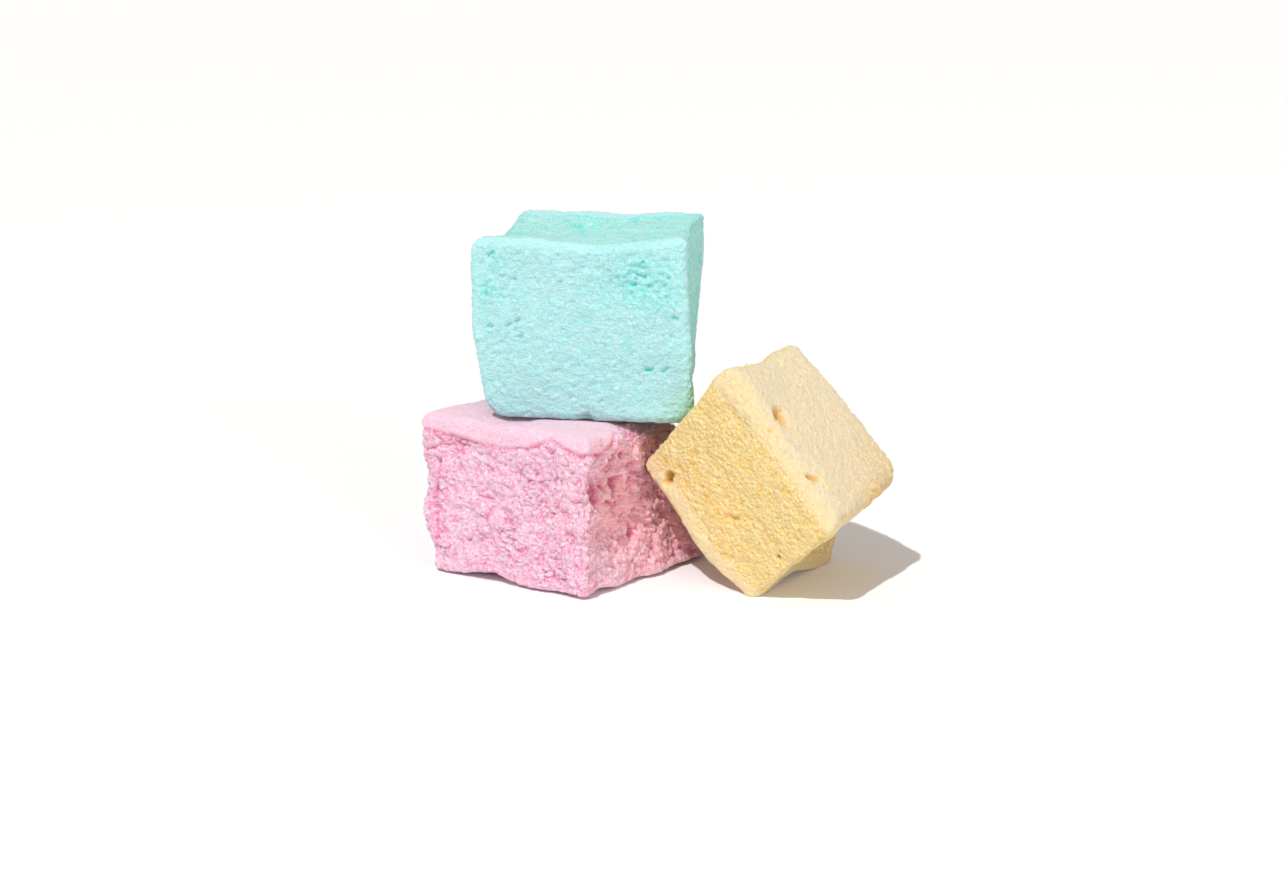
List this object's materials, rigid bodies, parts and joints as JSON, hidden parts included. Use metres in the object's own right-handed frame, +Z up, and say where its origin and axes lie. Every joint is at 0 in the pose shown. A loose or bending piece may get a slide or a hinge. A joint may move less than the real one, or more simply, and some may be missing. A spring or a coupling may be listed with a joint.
{
  "type": "marshmallow heap",
  "caption": "Cut cube marshmallows in soft pastel colours, heaped with one stacked on another and one leaning against its side.",
  "frame": {"origin": "on the table, at the middle of the flat underside of the lowest marshmallow", "axes": "+Z up from the table, +X to the right along the heap, +Y away from its front"},
  "size_m": [0.0854, 0.0617, 0.0622],
  "materials": {
    "pink_marshmallow": "soft sugar foam, powdered skins and torn cut walls",
    "mint_marshmallow": "soft sugar foam, powdered skins and torn cut walls",
    "yellow_marshmallow": "soft sugar foam, powdered skins and torn cut walls"
  },
  "bodies": {
    "root": {"marshmallow_pink": "pink_marshmallow", "marshmallow_mint": "mint_marshmallow", "marshmallow_yellow": "yellow_marshmallow"}
  },
  "joints": []
}
